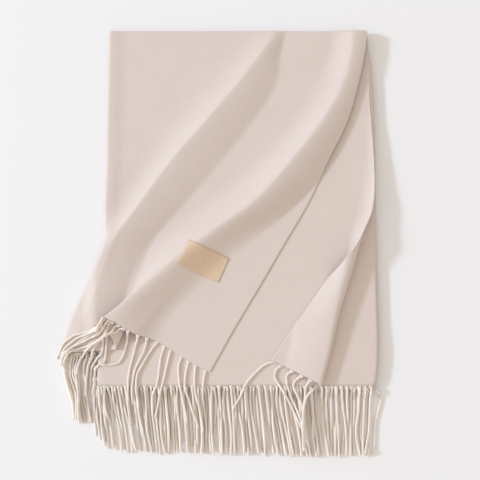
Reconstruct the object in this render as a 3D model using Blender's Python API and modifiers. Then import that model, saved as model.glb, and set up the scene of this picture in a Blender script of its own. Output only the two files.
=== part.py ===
"""A fringed woollen-feel shawl, folded in half end to end, in half lengthwise and once more across,
then laid flat with its front ply drawn aside in two soft ridges and one corner turned back.

Plan sizes are in millimetres: x to the right, y up the shawl from its hem, z up from the ground.
"""

import bpy
from math import cos, pi, radians, sin
from mathutils import Vector
from mathutils.bvhtree import BVHTree

MM = 0.001

# ---- driving sizes ------------------------------------------------------------------------
PLY = 1.2                    # one thickness of cloth
GAP = 0.3                    # air between two plies
PITCH = PLY + GAP
HIDDEN_PLIES = 4             # folded under the four plies that show
FRINGE = 84.0                # length of the twisted fringe
FRINGE_WALL = 1.0            # the plain skirt that stands for a row of cords
NOSE_Y = 459.0               # top fold, where the whole stack turns over
NOSE_REACH = {"front": 1.45, "inner": 1.3}   # how far a ply bulges at the fold, per unit of its level
PLAN_CENTRE = (-24.93, 186.91)   # middle of the laid-out shawl, which becomes the part's origin

HIDDEN_HEIGHT = HIDDEN_PLIES * PITCH - GAP
MIDDLE_Z = HIDDEN_HEIGHT + GAP / 2                      # height of the fold's middle plane
LEVEL = {"under": 0.5 * PITCH, "back": 1.5 * PITCH, "middle": 2.5 * PITCH, "front": 3.5 * PITCH}
FOLD_Y = NOSE_Y - PLY / 2 - LEVEL["front"] * NOSE_REACH["front"]   # where the flat plies start to turn

CORE_LEFT = -171.0
CORE_RIGHT_IN = 1.5          # how far the hidden plies stay inside the back ply's selvage
CORE_STAGGER = (0.0, 1.6, 0.5, 2.2)   # how far each hidden ply's selvage stops short, lowest first
CORE_SLIT = 5.0              # depth of the slits between those selvages
CORE_HEM = 12.0              # the hidden plies end in two rolls this far above the hem
GROOVE_DEPTH = 3.0           # how deep the groove between the rolls is cut
ROLL_SWELL = 1.6             # how much those rolls lift what lies on them
SWELL_Y = 38.0               # where that lift is greatest
SWELL_REACH = 50.0           # and how far from there it ends
DROP_X = (-192.0, 20.0)      # a ply leaves the ground at this x, and is up this much further right
DROP_Y = (-52.0, 60.0)       # the same, up the shawl
FRONT_HELD = 6.0              # how far past the hidden plies the front ply stays up

# ---- outlines, one row for each height up the shawl ---------------------------------------
# right selvage of the back ply, and of all that lies under it
BACK_EDGE = [
    dict(y=-4, x=166.5), dict(y=12, x=170.5), dict(y=34, x=172.5), dict(y=68, x=173.4),
    dict(y=137, x=173.0), dict(y=234, x=173.4), dict(y=318, x=174.3), dict(y=380, x=173.0),
    dict(y=419, x=170.5), dict(y=434, x=168.0), dict(y=452, x=166.5)]

# the inner lengthwise fold, where the middle ply turns down into the back ply
INNER_FOLD = [dict(y=-4, x=-177.0), dict(y=90, x=-173.0), dict(y=178, x=-168.4), dict(y=452, x=-167.0)]

# right selvage of the middle ply before its corner is turned back, and how far it lifts
MIDDLE_EDGE = [
    dict(y=-4, x=174.0, lift=0), dict(y=100, x=175.0, lift=0), dict(y=188, x=176.0, lift=0),
    dict(y=222, x=175.5, lift=2.5), dict(y=261, x=173.5, lift=4.5), dict(y=297, x=170.5, lift=5.5),
    dict(y=335, x=168.5, lift=5), dict(y=386, x=168.0, lift=2.5), dict(y=425, x=168.0, lift=0),
    dict(y=452, x=166.5, lift=0)]

# the turned corner: the line where the ply leaves the flat, and the radius of its roll
TURN = [
    dict(y=-40, x=85.4, radius=3.6), dict(y=0, x=95.6, radius=3.6), dict(y=44, x=106.8, radius=4.2),
    dict(y=93, x=119.2, radius=5.6), dict(y=148, x=132.2, radius=8.0), dict(y=188, x=142.4, radius=9.5),
    dict(y=222, x=151.0, radius=11.5), dict(y=261, x=161.5, radius=9.5), dict(y=340, x=182.0, radius=8.0)]
TURN_DOWN = 45.0             # length over which the turned corner settles on the ply below
EDGE_BAND = 14.0             # narrowest strip along the middle ply's selvage with its own columns

# the front ply, section by section from the top fold to its hem: its left fold, the crest of its
# upper ridge, the crest of its lower ridge and its selvage. h is a crest's height over the flat,
# wl and wr the reach of its slopes along the section, pl how hollow its left slope is, soft how
# soft the lower ridge's right slope is, lean how far its crest falls to the left, and rise how far
# the ply is lifted at the left fold
FRONT = [
    dict(left=(-168, 451), upper=(44, 451), lower=(149, 451), edge=(165.5, 451), h1=3.5, wl1=44, pl1=2.6,
         wr1=12, h2=8, wl2=26, pl2=1.8, wr2=28, soft=0, lean=0, rise=0),
    dict(left=(-168, 425), upper=(28, 425), lower=(145, 425), edge=(161.5, 425), h1=8, wl1=60, pl1=3.0,
         wr1=22, h2=10, wl2=27, pl2=1.9, wr2=25, soft=0, lean=0, rise=0),
    dict(left=(-168, 385), upper=(0, 385), lower=(134, 385), edge=(153, 386), h1=12, wl1=84, pl1=3.4,
         wr1=44, h2=11, wl2=38, pl2=2.3, wr2=25, soft=0, lean=0, rise=0),
    dict(left=(-168, 335), upper=(-41, 335), lower=(107, 335), edge=(137, 333), h1=13.5, wl1=88, pl1=3.6,
         wr1=54, h2=15.5, wl2=52, pl2=3.0, wr2=33, soft=0, lean=0, rise=1),
    dict(left=(-167.5, 280), upper=(-87, 280), lower=(65, 280), edge=(111, 280), h1=13, wl1=58, pl1=3.3,
         wr1=58, h2=19.5, wl2=62, pl2=2.8, wr2=47, soft=0, lean=0, rise=2),
    dict(left=(-168.5, 228), upper=(-124, 228), lower=(18, 228), edge=(86.5, 228), h1=13, wl1=40, pl1=2.5,
         wr1=51, h2=21.5, wl2=70, pl2=2.2, wr2=51, soft=0.1, lean=0, rise=4),
    dict(left=(-169.5, 178), upper=(-158, 178), lower=(-51, 176), edge=(57, 178), h1=13, wl1=14, pl1=1.0,
         wr1=44, h2=20, wl2=62, pl2=1.7, wr2=62, soft=0.8, lean=2, rise=4),
    dict(left=(-192, 122), upper=(-176, 122), lower=(-105, 118), edge=(26, 125), h1=9, wl1=20, pl1=1.0,
         wr1=41, h2=19, wl2=32, pl2=1.4, wr2=63, soft=1, lean=12, rise=2),
    dict(left=(-211, 76), upper=(-195, 76), lower=(-122, 74), edge=(-7, 70), h1=7, wl1=20, pl1=1.0,
         wr1=42, h2=20, wl2=22, pl2=1.4, wr2=50, soft=1, lean=34, rise=0),
    dict(left=(-219, 41), upper=(-205, 41), lower=(-127, 46), edge=(-37, 17), h1=4, wl1=18, pl1=1.0,
         wr1=42, h2=18, wl2=30, pl2=1.2, wr2=48, soft=1, lean=53, rise=0)]
CREST_ROUND = (3.0, 5.0)     # how round the crests are, upper and lower
CREST_SLOPE = 0.55           # share of a ridge's fall to the right that starts at its crest
LEAN_TO = (-0.707, 0.707)
LEAN_FROM = 0.16             # part of a crest's height that stands before it leans

OUTER_ROLL = 4.0             # half width of the rolled lengthwise fold, front ply to under ply
INNER_ROLL = 1.3             # the same, middle ply to back ply
ROLL_RETURN = 3.0            # how far a rolled fold runs on under itself before its seam line

# heights of the rows of points that the back and middle plies share
FLAT_ROWS = [425, 386, 350, 325, 297, 270, 246, 222, 205, 188, 165, 140, 115, 90, 70, 54, 38, 22, 10, 0]

UNDER_IN = 1.0               # how far the under ply's selvage stays inside the back ply's
UNDER_HEM = [dict(x=-218, y=41), dict(x=-180, y=41), dict(x=-120, y=27), dict(x=-40, y=9), dict(x=172, y=0)]

# where the outermost cords of the drawn-aside hems end
PLEAT_TIPS = [(-224, 26), (-208, 18), (-194, 12)]
FRONT_TIPS = [(-140, -8), (-132, -16), (-118, -20), (-100, -30), (-76, -42), (-44, -62)]
SIDE_CREST = 3.7             # how far the cords over the pleat's crest ride above the side of the hem
CORNER_TIPS = [(-2, -38), (56, -46), (72, -54), (84, -62), (92, -70)]

# sections of the front ply, counted along its table
FRONT_ROWS = [i * (len(FRONT) - 1) / 22 for i in range(23)]

LABEL = dict(width=55.0, depth=33.0, thick=0.9, centre=(-45.5, 153.5), turn=-24.0, slack=1.1)

CREAM = (0.70, 0.615, 0.55, 1)
TAN = (0.66, 0.49, 0.34, 1)


# ---- helpers ------------------------------------------------------------------------------
def smooth(t):
    """0 to 1 with level ends."""
    t = min(max(t, 0.0), 1.0)
    return t * t * (3 - 2 * t)


def slope(distance, reach):
    """A crest's share of its height at a distance from it."""
    return 1 - smooth(abs(distance) / reach)


def mix(a, b, t):
    if isinstance(a, tuple):
        return tuple(p + (q - p) * t for p, q in zip(a, b))
    return a + (b - a) * t


def curve_value(before, a, b, after, t):
    """One number of a smooth curve that passes through a and b."""
    return 0.5 * (2 * a + (b - before) * t + (2 * before - 5 * a + 4 * b - after) * t ** 2
                  + (3 * a - before - 3 * b + after) * t ** 3)


def between(rows, place):
    """The row at a place along a table, counted in rows, on smooth curves through its values."""
    place = min(max(place, 0.0), len(rows) - 1.0)
    i = min(int(place), len(rows) - 2)
    t = place - i
    four = [rows[max(i - 1, 0)], rows[i], rows[i + 1], rows[min(i + 2, len(rows) - 1)]]
    found = {}
    for key in rows[0]:
        values = [row[key] for row in four]
        if isinstance(values[0], tuple):
            found[key] = tuple(curve_value(*pair, t) for pair in zip(*values))
        else:
            found[key] = curve_value(*values, t)
    return found


def at(rows, key, value):
    """The row of a table where its rising column has a value, straight between rows."""
    i = 0
    while i < len(rows) - 2 and value > rows[i + 1][key]:
        i += 1
    t = min(max((value - rows[i][key]) / (rows[i + 1][key] - rows[i][key]), 0.0), 1.0)
    return {name: mix(rows[i][name], rows[i + 1][name], t) for name in rows[i]}


def steps(start, end, count):
    return [start + (end - start) * i / count for i in range(count + 1)]


def swell(y):
    """How far the rolled ends of the hidden plies lift the stack."""
    return ROLL_SWELL * slope(y - SWELL_Y, SWELL_REACH)


def ground_drop(x, y):
    """How far a ply falls towards the ground where no hidden ply carries it."""
    carried = smooth((x - DROP_X[0]) / DROP_X[1]) * smooth((y - DROP_Y[0]) / DROP_Y[1])
    return (HIDDEN_HEIGHT + GAP) * (1 - carried)


def flat_height(x, y, level):
    """Height of a ply's middle surface where it lies flat."""
    return MIDDLE_Z + level + swell(y) - ground_drop(x, y)


def front_height(x, y, level):
    """The same for the front ply, which the ply below holds up a little further out."""
    return MIDDLE_Z + level + swell(y) - ground_drop(x + FRONT_HELD, y)


def over_fold(x, turn, level, reach, raised=0.0):
    """A point of a ply on its way round the top fold, turn from 0 on top to pi underneath."""
    y = FOLD_Y + level * reach * sin(turn)
    z = MIDDLE_Z + level * cos(turn) + raised * cos(turn / 2) ** 4
    return (x, y, z)


# ---- the parts' meshes ---------------------------------------------------------------------
def new_object(name, vertices, faces, colour, roughness=0.9):
    mesh = bpy.data.meshes.new(name)
    placed = [((x - PLAN_CENTRE[0]) * MM, (y - PLAN_CENTRE[1]) * MM, z * MM) for x, y, z in vertices]
    mesh.from_pydata(placed, [], faces)
    mesh.update()
    mesh.shade_smooth()
    material = bpy.data.materials.new(name)
    material.use_nodes = True
    shader = material.node_tree.nodes["Principled BSDF"]
    shader.inputs["Base Color"].default_value = colour
    shader.inputs["Roughness"].default_value = roughness
    shader.inputs["Metallic"].default_value = 0.0
    mesh.materials.append(material)
    piece = bpy.data.objects.new(name, mesh)
    shawl.objects.link(piece)
    return piece


def cloth(name, rows, thickness=PLY, colour=CREAM):
    """A wall of cloth on a grid of points, half its thickness to each side."""
    across = len(rows[0])
    vertices = [point for row in rows for point in row]
    faces = []
    for j in range(len(rows) - 1):
        for i in range(across - 1):
            a = j * across + i
            faces.append((a, a + 1, a + across + 1, a + across))
    piece = new_object(name, vertices, faces, colour)
    wall = piece.modifiers.new("wall", "SOLIDIFY")
    wall.thickness = thickness * MM
    wall.offset = 0
    wall.use_even_offset = True
    return piece


def closed_loft(name, rings, colour):
    """A solid through closed rings of equal count, capped at both ends."""
    count = len(rings[0])
    vertices = [point for ring in rings for point in ring]
    faces = [tuple(range(count)), tuple((len(rings) - 1) * count + i for i in reversed(range(count)))]
    for j in range(len(rings) - 1):
        for i in range(count):
            k = (i + 1) % count
            faces.append((j * count + k, j * count + i, (j + 1) * count + i, (j + 1) * count + k))
    return new_object(name, vertices, faces, colour)


# ---- hidden plies: one rounded solid, layered along its selvages and its rolled ends --------
def build_core():
    radius = HIDDEN_HEIGHT / 2

    def ring(y, share):
        """Section across the stack at y, with its height and its roll drawn in to a share."""
        full = HIDDEN_HEIGHT + swell(y)
        tall = full * share
        base = (full - tall) / 2
        points = []
        for turn in steps(-pi / 2, -3 * pi / 2, 6):
            points.append((CORE_LEFT + radius + radius * cos(turn), y, base + tall / 2 * (1 + sin(turn))))
        right = at(BACK_EDGE, "y", y)["x"] - CORE_RIGHT_IN
        for ply in reversed(range(HIDDEN_PLIES)):
            top = base + tall * (ply * PITCH + PLY) / HIDDEN_HEIGHT
            bottom = base + tall * ply * PITCH / HIDDEN_HEIGHT
            out = right - CORE_STAGGER[ply]
            points += [(out, y, top), (out, y, bottom)]
            if ply:
                inner = right - CORE_SLIT
                points += [(inner, y, bottom), (inner, y, bottom - tall * GAP / HIDDEN_HEIGHT)]
        return points

    rings = [ring(CORE_HEM + radius * (1 - cos(radians(a))), sin(radians(a)) if a < 90 else 1)
             for a in (18, 36, 54, 72, 90)]
    rings += [ring(y, 1) for y in (24, 38, 52, 66, 83, 137, 234, 318, 380, 419, 434)]
    rings.append(ring(FOLD_Y - GAP, 1))
    core = closed_loft("folded_core", rings, CREAM)

    # the groove between the two rolls in which the hidden plies end
    bpy.ops.mesh.primitive_cube_add(size=1)
    groove = bpy.context.object
    groove.name = "roll_groove"
    groove.scale = (500 * MM, GROOVE_DEPTH * 2 * MM, GAP * MM)
    middle = (HIDDEN_HEIGHT + swell(CORE_HEM)) / 2
    groove.location = (-PLAN_CENTRE[0] * MM, (CORE_HEM - PLAN_CENTRE[1]) * MM, middle * MM)
    groove.hide_render = True
    groove.display_type = "WIRE"
    for holder in list(groove.users_collection):
        holder.objects.unlink(groove)
    cutters.objects.link(groove)
    cut = core.modifiers.new("groove", "BOOLEAN")
    cut.operation = "DIFFERENCE"
    cut.object = groove
    return core


# ---- under and back plies, which lie flat ---------------------------------------------------
def hem_y(x):
    return at(UNDER_HEM, "x", x)["y"]


def build_under():
    level = LEVEL["under"]
    shares = [0, 0.025, 0.05, 0.08, 0.115, 0.15, 0.21, 0.3, 0.42, 0.65, 1]
    rows = []
    for turn in (pi, pi * 0.75, pi * 0.5, pi * 0.25):
        left = FRONT[0]["left"][0] + ROLL_RETURN + GAP
        right = at(BACK_EDGE, "y", FOLD_Y)["x"] - UNDER_IN
        rows.append([over_fold(mix(left, right, s), turn, level, NOSE_REACH["inner"]) for s in shares])
    for along in FRONT_ROWS:
        left, left_y = between(FRONT, along)["left"]
        up = (left_y - hem_y(left)) / (FOLD_Y - hem_y(left))
        right = at(BACK_EDGE, "y", up * FOLD_Y)["x"] - UNDER_IN
        row = []
        for s in shares:
            x = mix(left + ROLL_RETURN + GAP, right, s)
            y = mix(hem_y(x), FOLD_Y, up)
            row.append((x, y, flat_height(x, y, level)))
        rows.append(row)
    return cloth("under_panel", rows)


def build_back():
    level = LEVEL["back"]
    shares = [0, 0.012, 0.025, 0.05, 0.35, 0.7, 1]
    rows = []

    def x_at(y, share):
        left = at(INNER_FOLD, "y", y)["x"] + INNER_ROLL + ROLL_RETURN + GAP
        return mix(left, at(BACK_EDGE, "y", y)["x"], share)

    for turn in (pi, pi * 5 / 6, pi * 4 / 6, pi * 3 / 6, pi * 2 / 6, pi / 6):
        rows.append([over_fold(x_at(FOLD_Y, s), turn, level, NOSE_REACH["inner"]) for s in shares])
    for y in [FOLD_Y] + FLAT_ROWS:
        rows.append([(x_at(y, s), y, flat_height(x_at(y, s), y, level)) for s in shares])
    return cloth("back_panel", rows)


# ---- middle ply: rolled into the back ply on the left, its corner turned back on the right ---
def turned(x, y):
    """A point of the middle ply, carried round the turned corner if it lies beyond the turn."""
    level = LEVEL["middle"]
    first, last = TURN[1], TURN[5]
    run = (last["x"] - first["x"], last["y"] - first["y"])
    length = (run[0] ** 2 + run[1] ** 2) ** 0.5
    along = (run[0] / length, run[1] / length)
    out = (along[1], -along[0])
    row = at(TURN, "y", y)
    beyond = (x - row["x"]) * out[0]
    for _ in range(3):
        foot_y = y - out[1] * beyond
        row = at(TURN, "y", foot_y)
        beyond = (x - row["x"]) * out[0] + (y - foot_y) * out[1]
    edge = at(MIDDLE_EDGE, "y", y)
    lift = edge["lift"] * slope(max(edge["x"] - x, 0), 26)
    if beyond <= 0:
        return (x, y, flat_height(x, y, level) + lift)
    radius = row["radius"]
    half_turn = pi * radius
    if beyond < half_turn:
        push = radius * sin(beyond / radius)
        rise = radius * (1 - cos(beyond / radius))
    else:
        push = half_turn - beyond
        rise = PITCH + (2 * radius - PITCH) * slope(beyond - half_turn, TURN_DOWN)
    px = row["x"] + out[0] * push
    py = foot_y + out[1] * push
    return (px, py, flat_height(px, py, level) + rise + lift)


def middle_columns(y):
    """x of each column of the middle ply's grid, before the corner is turned."""
    left = at(INNER_FOLD, "y", y)["x"] + INNER_ROLL
    edge = at(MIDDLE_EDGE, "y", y)["x"]
    row = at(TURN, "y", y)
    start = min(row["x"], edge - EDGE_BAND)
    arc = min(pi * row["radius"] * 1.03, (edge - start) * 0.75)
    columns = [mix(left, start, s) for s in (0, 0.02, 0.055, 0.4, 0.75, 0.94)]
    columns += steps(start, start + arc, 6)
    columns += steps(start + arc, edge, 4)[1:]
    return columns


def build_middle():
    level, low = LEVEL["middle"], LEVEL["back"]
    centre, half = (level + low) / 2, (level - low) / 2
    rows = []

    def roll(y, point):
        """The rolled fold on the left, from its seam line below to the top of the roll."""
        left = at(INNER_FOLD, "y", y)["x"] + INNER_ROLL
        places = [(left + ROLL_RETURN, low), (left + ROLL_RETURN / 2, low)]
        places += [(left - INNER_ROLL * cos(a), centre + half * sin(a)) for a in steps(-pi / 2, pi / 2, 4)[:-1]]
        return [point(x, y, at_level) for x, at_level in places]

    for turn in steps(pi, 0, 6)[:-1]:
        row = roll(FOLD_Y, lambda x, y, at_level: over_fold(x, turn, at_level, NOSE_REACH["inner"]))
        row += [over_fold(x, turn, level, NOSE_REACH["inner"]) for x in middle_columns(FOLD_Y)]
        rows.append(row)
    for y in [FOLD_Y] + FLAT_ROWS:
        row = roll(y, lambda x, y, at_level: (x, y, flat_height(x, y, at_level)))
        row += [turned(x, y) for x in middle_columns(y)]
        rows.append(row)
    return cloth("middle_panel", rows)


# ---- front ply: rolled into the under ply on the left, with two ridges ----------------------
def rounded(distance, radius):
    """A distance from a crest, measured so that the crest is round."""
    return (distance ** 2 + radius ** 2) ** 0.5 - radius


def climb(distance, radius, reach, power):
    """A ridge's share of its height on its left: hollow at the foot, steep below the crest."""
    return max(1 - rounded(distance, radius) / reach, 0.0) ** power


def descent(distance, radius, reach, soft):
    """The same on its right: full and round, with a crease at the foot, or softer."""
    t = rounded(distance, radius) / reach
    full = max(1 - CREST_SLOPE * t - (1 - CREST_SLOPE) * t ** 2, 0.0) ** 1.15
    return mix(full, 1 - smooth(t ** 0.75), soft)


def front_point(section, place):
    """A point of the front ply: place runs 0 to 1 to the upper crest, to 2 to the lower, to 3 at the edge."""
    stops = [section["left"], section["upper"], section["lower"], section["edge"]]
    i = min(int(place), 2)
    x, y = mix(stops[i], stops[i + 1], place - i)
    from_upper = x - section["upper"][0]
    from_lower = x - section["lower"][0]
    if from_upper < 0:
        up1 = climb(from_upper, CREST_ROUND[0], section["wl1"], section["pl1"])
    else:
        up1 = descent(from_upper, CREST_ROUND[0], section["wr1"], 0)
    if from_lower < 0:
        up2 = climb(from_lower, CREST_ROUND[1], section["wl2"], section["pl2"])
        fall = section["lean"] * smooth((up2 - LEAN_FROM) / (1 - LEAN_FROM))
    else:
        up2 = descent(from_lower, CREST_ROUND[1], section["wr2"], section["soft"])
        along = from_lower / (section["edge"][0] - section["lower"][0])
        fall = section["lean"] * (1 - 0.35 * min(along / 0.25, 1.0)) * (1 - smooth((along - 0.45) / 0.55))
    raised = section["h1"] * up1 + section["h2"] * up2 + section["rise"] * (1 - smooth(place))
    leaning_x = x + LEAN_TO[0] * fall
    leaning_y = y + LEAN_TO[1] * fall
    return leaning_x, leaning_y, raised, x, y


PLACES = ([0, 0.14, 0.3, 0.46, 0.6, 0.73, 0.83, 0.92]
          + [1, 1.06, 1.14, 1.26, 1.4, 1.54, 1.68, 1.8, 1.9, 1.96]
          + [2, 2.08, 2.18, 2.32, 2.48, 2.7, 3])


def build_front():
    level, low = LEVEL["front"], LEVEL["under"]
    reach = NOSE_REACH["front"]
    rows = []
    for turn in steps(pi, 0, 7)[:-1]:
        section = between(FRONT, 0)
        left = section["left"][0]
        places = [(left + ROLL_RETURN, low), (left + ROLL_RETURN / 2, low)]
        places += [(left - OUTER_ROLL * cos(a), (level + low) / 2 + (level - low) / 2 * sin(a))
                   for a in steps(-pi / 2, pi / 2, 5)[:-1]]
        row = []
        for x, at_level in places:
            share = (at_level - low) / (level - low)
            row.append(over_fold(x, turn, at_level, mix(NOSE_REACH["inner"], reach, share)))
        for place in PLACES:
            x, _, raised, _, _ = front_point(section, place)
            row.append(over_fold(x, turn, level, reach, raised))
        rows.append(row)
    for along in FRONT_ROWS:
        section = between(FRONT, along)
        left, left_y = section["left"]
        top = front_point(section, 0)[2] + front_height(left, left_y, level)
        bottom = flat_height(left, left_y, low)
        row = [(left + r, left_y, flat_height(left + r, left_y, low)) for r in (ROLL_RETURN, ROLL_RETURN / 2)]
        for a in steps(-pi / 2, pi / 2, 5)[:-1]:
            row.append((left - OUTER_ROLL * cos(a), left_y, mix(bottom, top, (1 + sin(a)) / 2)))
        for place in PLACES:
            x, y, raised, base_x, base_y = front_point(section, place)
            row.append((x, y, front_height(base_x, base_y, level) + raised))
        rows.append(row)
    return cloth("front_panel", rows)


def build_label(front):
    turn = radians(LABEL["turn"])
    lift = PLY / 2 + GAP + LABEL["thick"] / 2
    tree = BVHTree.FromPolygons([v.co for v in front.data.vertices], [f.vertices for f in front.data.polygons])
    rows = []
    for v in steps(-0.5, 0.5, 4):
        row = []
        for u in steps(-0.5, 0.5, 7):
            dx, dy = u * LABEL["width"], v * LABEL["depth"]
            x = LABEL["centre"][0] + dx * cos(turn) - dy * sin(turn)
            y = LABEL["centre"][1] + dx * sin(turn) + dy * cos(turn)
            above = Vector(((x - PLAN_CENTRE[0]) * MM, (y - PLAN_CENTRE[1]) * MM, 1))
            point, normal, _, _ = tree.ray_cast(above, Vector((0, 0, -1)))
            z = point.z / MM + (lift + LABEL["slack"]) / abs(normal.z)
            row.append((x, y, z))
        rows.append(row)
    return cloth("label", rows, LABEL["thick"], TAN)


# ---- fringes: the reach of each row of cords, as a thin skirt below its hem ------------------
def skirt(name, starts, tips, height):
    """A skirt from the points of a hem to the tips of its cords; height gives z from x, y and share."""
    rows = []
    for share in (0, 0.2, 0.4, 0.6, 0.8, 1):
        row = []
        for start, tip in zip(starts, tips):
            x, y = mix(start[:2], tip, share)
            lifted = (start[2] - height(start[0], start[1])) * (1 - share) ** 2
            row.append((x, y, height(x, y) + lifted))
        rows.append(row)
    return cloth(name, rows, FRINGE_WALL)


def straight_skirt(name, xs, hem, level, drop):
    def height(x, y):
        return flat_height(x, y, level)
    starts = [(x, hem(x) - 3 * GAP, height(x, hem(x) - 3 * GAP)) for x in xs]
    return skirt(name, starts, [(x, hem(x) - FRINGE - drop) for x in xs], height)


def build_fringes():
    straight_skirt("under_fringe", [-213.5, -204, -195, -187, -180, -172, -160, -120, -80, -40, 30, 168],
                   hem_y, LEVEL["under"], 1)
    straight_skirt("back_fringe", [-171.5, -165, -157, -60, 50, 167], lambda x: 0, LEVEL["back"], 4)
    straight_skirt("middle_fringe", [-175, -168, -161, -60, 94], lambda x: 0, LEVEL["middle"], 1)

    # the front ply's hem: below its left part, over its crest, and below its right part
    hem = between(FRONT, len(FRONT) - 1)

    def start(place, clear=2 * GAP):
        x, y, raised, base_x, base_y = front_point(hem, place)
        return (x, y - clear, front_height(base_x, base_y, LEVEL["front"]) + raised)

    def on_middle(x, y):
        return front_height(x, y, LEVEL["front"])

    def over_middle(x, y):
        return on_middle(x, y) + 2 * GAP

    def on_front(x, y):
        return on_middle(x, y) + PITCH + SIDE_CREST

    places = [0, 0.46, 1, 1.14, 1.4, 1.54, 1.68]
    starts = [start(place, 3 * GAP) for place in places]
    skirt("side_fringe", starts, [(x, y - FRINGE) for x, y, _ in starts], on_middle)
    starts = [start(place, 0) for place in (2.0, 2.08, 2.16)]
    starts = [(x - 3 * GAP, y - 5 * GAP, z + PITCH) for x, y, z in starts]
    skirt("pleat_fringe", starts, PLEAT_TIPS, on_front)
    places = [2.36, 2.45, 2.55, 2.65, 2.8, 3]
    skirt("front_fringe", [start(place, 3 * GAP) for place in places], FRONT_TIPS, over_middle)

    # the turned corner's hem
    columns = middle_columns(0)
    corner = [turned(x, 0) for x in (columns[-1], columns[-2], columns[-3], columns[-4], columns[-5])]
    starts = [(x - GAP, y - 2 * GAP, z) for x, y, z in corner]
    skirt("corner_fringe", starts, CORNER_TIPS, on_middle)


for old in list(bpy.data.objects):
    bpy.data.objects.remove(old, do_unlink=True)
shawl = bpy.data.collections.new("fringed_shawl")
cutters = bpy.data.collections.new("cutters")
bpy.context.scene.collection.children.link(shawl)
bpy.context.scene.collection.children.link(cutters)

build_core()
build_under()
build_back()
build_middle()
front = build_front()
build_label(front)
build_fringes()
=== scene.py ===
"""A pale brushed shawl with twisted fringes, folded and laid flat. Its front ply is drawn aside in two
soft ridges, and one corner of the ply below is turned back.

Plan sizes are in millimetres: x to the right, y up the shawl from its hem, z up from the floor.
"""

import random
from math import atan, cos, dist, hypot, pi, radians, sin, sqrt

import bpy
import numpy as np
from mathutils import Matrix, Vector
from mathutils.bvhtree import BVHTree


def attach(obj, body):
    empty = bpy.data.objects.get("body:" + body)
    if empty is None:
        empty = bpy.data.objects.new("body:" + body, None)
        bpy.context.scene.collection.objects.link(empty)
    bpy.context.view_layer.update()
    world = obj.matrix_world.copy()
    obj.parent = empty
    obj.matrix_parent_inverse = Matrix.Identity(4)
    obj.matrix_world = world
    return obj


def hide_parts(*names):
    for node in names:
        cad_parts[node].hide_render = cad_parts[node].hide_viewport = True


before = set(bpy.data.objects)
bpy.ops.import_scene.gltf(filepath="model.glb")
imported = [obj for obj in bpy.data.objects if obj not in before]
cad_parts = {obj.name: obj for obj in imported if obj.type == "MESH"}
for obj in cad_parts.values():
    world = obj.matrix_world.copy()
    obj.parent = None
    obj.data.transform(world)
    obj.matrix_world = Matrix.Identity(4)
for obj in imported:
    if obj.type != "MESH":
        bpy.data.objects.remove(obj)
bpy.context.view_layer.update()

# ---- Camera, light and floor ----
# A pale matt table under an even white room, with one low lamp far off on the left. The shawl is
# 40 x 54 cm as it lies, so the camera hangs 93 cm over it and leans 7 degrees from straight down.
MM = 0.001
PLAN_CENTRE = (-24.93, 186.91)  # the part's origin, on the plan
CAMERA_PLACE = (0, 68.2, 931.9)
CAMERA_LEAN = 7
LAMP_HEIGHT = 27.5  # degrees above the table
LAMP_FROM = 174  # degrees round from +X, so nearly straight from the left
LAMP_AWAY = 6.0  # metres
LAMP_WIDE = 0.66
LAMP_POWER = 233  # watts
LAMP_COLOUR = (0.65, 0.81, 1.0)  # linear, a little blue against the warmer room
ROOM_LIGHT = 0.884
ROOM_LEAN = 0.2  # how much brighter the room is on the left than in the middle
ROOM_COLOUR = (1.0, 0.928, 0.843, 1)
FLOOR_HALF = 3.0  # metres
FLOOR_BELOW = 0.0001  # so that the floor and the cloth on it share no face


def place(x, y, z):
    """A point of the plan, in the part's frame and in metres."""
    return ((x - PLAN_CENTRE[0]) * MM, (y - PLAN_CENTRE[1]) * MM, z * MM)


def linear(code):
    """An sRGB hex colour as linear red, green, blue and alpha."""
    parts = [int(code[i:i + 2], 16) / 255 for i in (1, 3, 5)]
    return (*[p / 12.92 if p <= 0.04045 else ((p + 0.055) / 1.055) ** 2.4 for p in parts], 1.0)


def add_node(material, kind, settings, links=None):
    """A new node: settings sets its options and sockets, links joins its sockets to (node, output)."""
    node = material.node_tree.nodes.new("ShaderNode" + kind)
    for name, value in settings.items():
        if isinstance(name, int) or name in node.inputs:
            node.inputs[name].default_value = value
        else:
            setattr(node, name, value)
    for name, (source, output) in (links or {}).items():
        material.node_tree.links.new(source.outputs[output], node.inputs[name])
    return node


def join(node, output, shader, socket):
    """Feed a shader's socket from a node's output."""
    shader.id_data.links.new(node.outputs[output], shader.inputs[socket])


def new_material(name, sockets):
    """A new material and its shader, with the shader's sockets set."""
    material = bpy.data.materials.new(name)
    material.use_nodes = True
    shader = material.node_tree.nodes["Principled BSDF"]
    for socket, value in sockets.items():
        shader.inputs[socket].default_value = value
    return material, shader


bpy.ops.object.select_all(action="DESELECT")
bpy.ops.object.camera_add(location=place(*CAMERA_PLACE), rotation=(radians(CAMERA_LEAN), 0, 0))
camera = bpy.context.object
camera.data.lens = 55
camera.data.sensor_width = 36
camera.data.clip_end = 20
bpy.context.scene.camera = camera
bpy.context.scene.view_settings.view_transform = "Standard"

lamp_round, lamp_up = radians(LAMP_FROM), radians(LAMP_HEIGHT)
lamp_flat = cos(lamp_up)
lamp_place = LAMP_AWAY * Vector((cos(lamp_round) * lamp_flat, sin(lamp_round) * lamp_flat, sin(lamp_up)))
lamp_facing = lamp_place.to_track_quat("Z", "Y").to_euler()
bpy.ops.object.light_add(type="AREA", location=lamp_place, rotation=lamp_facing)
lamp = bpy.context.object
lamp.data.shape = "DISK"
lamp.data.size = LAMP_WIDE
lamp.data.energy = LAMP_POWER
lamp.data.color = LAMP_COLOUR

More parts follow.
